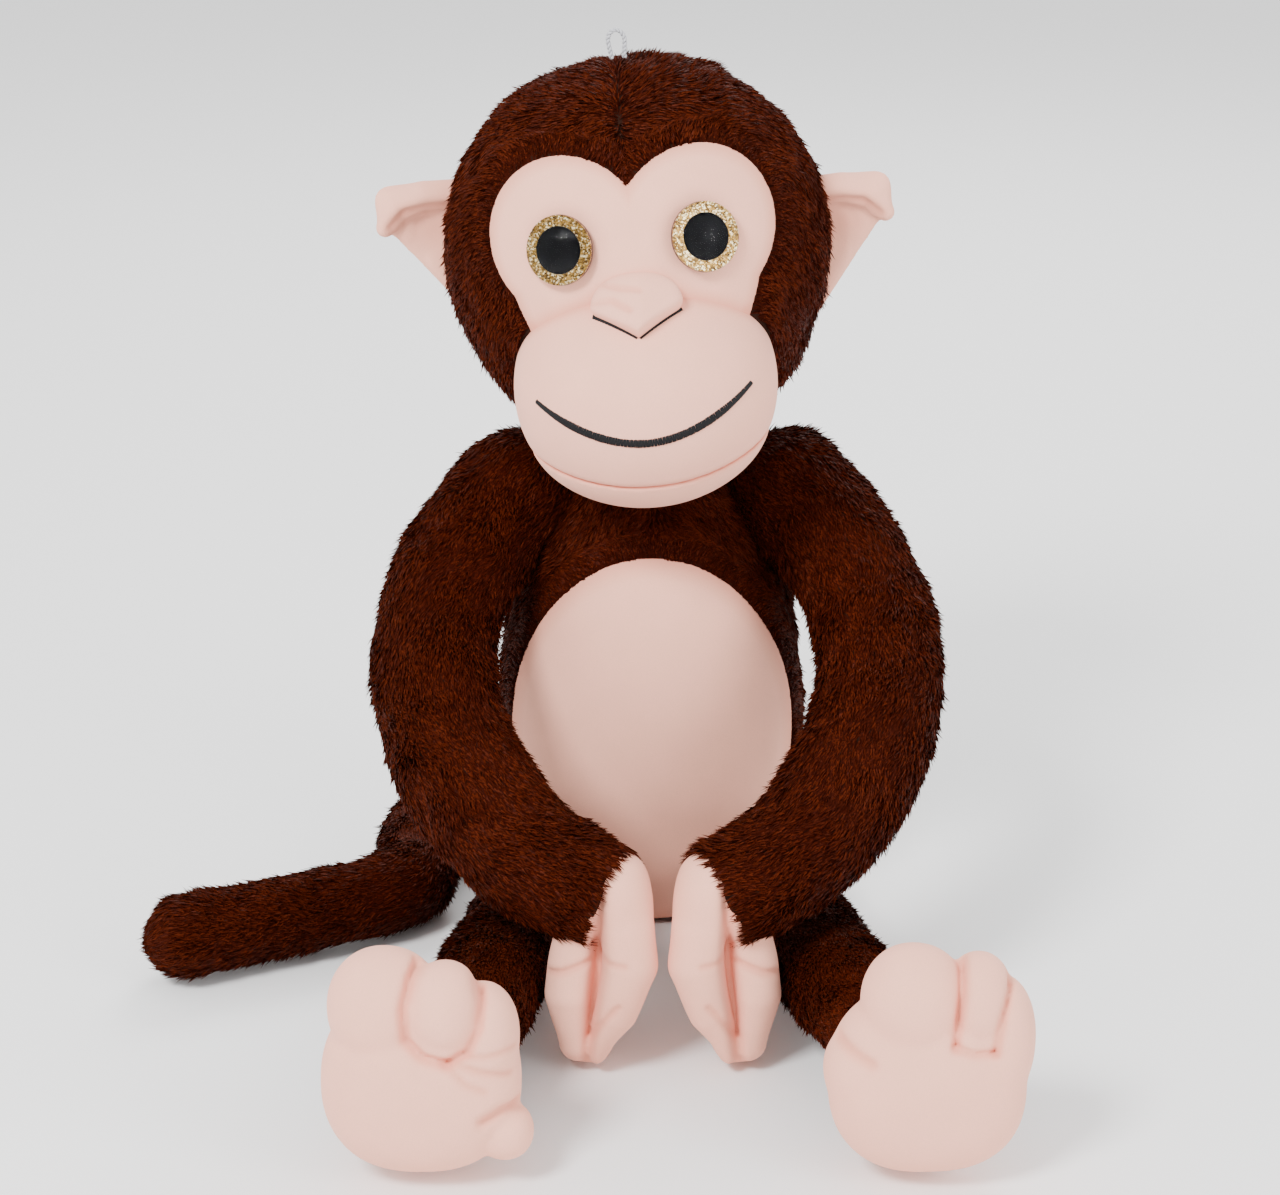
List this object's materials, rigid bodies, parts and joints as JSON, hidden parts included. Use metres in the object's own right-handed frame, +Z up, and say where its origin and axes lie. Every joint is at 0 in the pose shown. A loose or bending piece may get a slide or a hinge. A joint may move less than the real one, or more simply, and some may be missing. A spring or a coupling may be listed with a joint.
{
  "type": "stuffed monkey",
  "caption": "Sitting plush monkey with fur-covered body, pale face, belly, hands and feet, glitter safety eyes, a long tail, and head, limbs and ears sewn on at soft joints.",
  "frame": {"origin": "on the floor under the middle of the torso", "axes": "+Z up, the toy faces -Y, its own left side is +X"},
  "size_m": [0.4133, 0.4134, 0.4523],
  "materials": {
    "brown_fur": "long-pile fur cloth, dark chocolate brown, combed, slight sheen",
    "peach_velboa": "short-pile velboa, pale peach, matt",
    "wadding": "white polyester fibre fill",
    "black_thread": "satin-stitch embroidery thread",
    "loop_cord": "thin twisted silver-white cord",
    "clear_lens": "clear moulded plastic dome, polished",
    "glitter": "champagne-gold glitter film under clear plastic",
    "black_pupil": "gloss black",
    "dark_plastic": "dark brown moulded plastic",
    "washer_plastic": "natural nylon"
  },
  "bodies": {
    "torso": {"torso_fur_front": "brown_fur", "torso_fur_back": "brown_fur", "belly_panel": "peach_velboa", "torso_stuffing": "wadding"},
    "head": {"head_fur_left": "brown_fur", "head_fur_right": "brown_fur", "face_panel": "peach_velboa", "muzzle_panel": "peach_velboa", "chin_panel": "peach_velboa", "nose": "peach_velboa", "nostril_stitching": "black_thread", "mouth_stitching": "black_thread", "head_stuffing": "wadding", "hang_loop": "loop_cord", "left_eye_lens": "clear_lens", "left_eye_glitter_ring": "glitter", "left_eye_pupil": "black_pupil", "left_eye_stud": "dark_plastic", "left_eye_washer": "washer_plastic", "right_eye_lens": "clear_lens", "right_eye_glitter_ring": "glitter", "right_eye_pupil": "black_pupil", "right_eye_stud": "dark_plastic", "right_eye_washer": "washer_plastic"},
    "left_ear": {"left_ear_front": "peach_velboa", "left_ear_back": "peach_velboa"},
    "left_arm": {"left_arm_fur": "brown_fur", "left_arm_stuffing": "wadding"},
    "left_hand": {"left_palm": "peach_velboa", "left_hand_back": "peach_velboa", "left_hand_stuffing": "wadding"},
    "left_leg": {"left_leg_fur": "brown_fur", "left_leg_stuffing": "wadding"},
    "left_foot": {"left_sole": "peach_velboa", "left_foot_top": "peach_velboa", "left_foot_stuffing": "wadding"},
    "right_ear": {"right_ear_front": "peach_velboa", "right_ear_back": "peach_velboa"},
    "right_arm": {"right_arm_fur": "brown_fur", "right_arm_stuffing": "wadding"},
    "right_hand": {"right_palm": "peach_velboa", "right_hand_back": "peach_velboa", "right_hand_stuffing": "wadding"},
    "right_leg": {"right_leg_fur": "brown_fur", "right_leg_stuffing": "wadding"},
    "right_foot": {"right_sole": "peach_velboa", "right_foot_top": "peach_velboa", "right_foot_stuffing": "wadding"},
    "tail": {"tail_fur": "brown_fur", "tail_stuffing": "wadding"}
  },
  "joints": [
    {"name": "neck_turn", "type": "hinge", "parent": "torso", "child": "head", "pos_m": [0, 0, 0.258], "axis": [0, 0, 1], "range_deg": [-25, 25], "stiffness_Nm_per_rad": 0.12},
    {"name": "left_ear_bend", "type": "hinge", "parent": "head", "child": "left_ear", "pos_m": [0.08218, -0.002, 0.35258], "axis": [-0.0958, 0, 0.9954], "range_deg": [-20, 20], "stiffness_Nm_per_rad": 0.01},
    {"name": "left_shoulder_raise", "type": "hinge", "parent": "torso", "child": "left_arm", "pos_m": [0.06703, 0, 0.216], "axis": [-1, 0, 0], "range_deg": [0, 60]},
    {"name": "left_wrist_swing", "type": "hinge", "parent": "left_arm", "child": "left_hand", "pos_m": [0.0325, -0.184, 0.084], "axis": [-1, 0, 0], "range_deg": [0, 25]},
    {"name": "left_hip_spread", "type": "hinge", "parent": "torso", "child": "left_leg", "pos_m": [0.05076, -0.05024, 0.03], "axis": [0, 0, 1], "range_deg": [0, 20]},
    {"name": "left_ankle_tip", "type": "hinge", "parent": "left_leg", "child": "left_foot", "pos_m": [0.109, -0.26, 0.042], "axis": [1, 0, 0], "range_deg": [-10, 10], "stiffness_Nm_per_rad": 0.3},
    {"name": "right_ear_bend", "type": "hinge", "parent": "head", "child": "right_ear", "pos_m": [-0.09743, -0.002, 0.35036], "axis": [-0.0958, 0, 0.9954], "range_deg": [-20, 20], "stiffness_Nm_per_rad": 0.01},
    {"name": "right_shoulder_raise", "type": "hinge", "parent": "torso", "child": "right_arm", "pos_m": [-0.06703, 0, 0.216], "axis": [-1, 0, 0], "range_deg": [0, 60]},
    {"name": "right_wrist_swing", "type": "hinge", "parent": "right_arm", "child": "right_hand", "pos_m": [-0.0225, -0.184, 0.084], "axis": [-1, 0, 0], "range_deg": [0, 25]},
    {"name": "right_hip_spread", "type": "hinge", "parent": "torso", "child": "right_leg", "pos_m": [-0.05076, -0.05024, 0.03], "axis": [0, 0, -1], "range_deg": [0, 8]},
    {"name": "right_ankle_tip", "type": "hinge", "parent": "right_leg", "child": "right_foot", "pos_m": [-0.09, -0.26, 0.042], "axis": [1, 0, 0], "range_deg": [-10, 10], "stiffness_Nm_per_rad": 0.3},
    {"name": "tail_swing", "type": "hinge", "parent": "torso", "child": "tail", "pos_m": [-0.012, 0.07617, 0.0235], "axis": [0, 0, -1], "range_deg": [0, 50]}
  ]
}
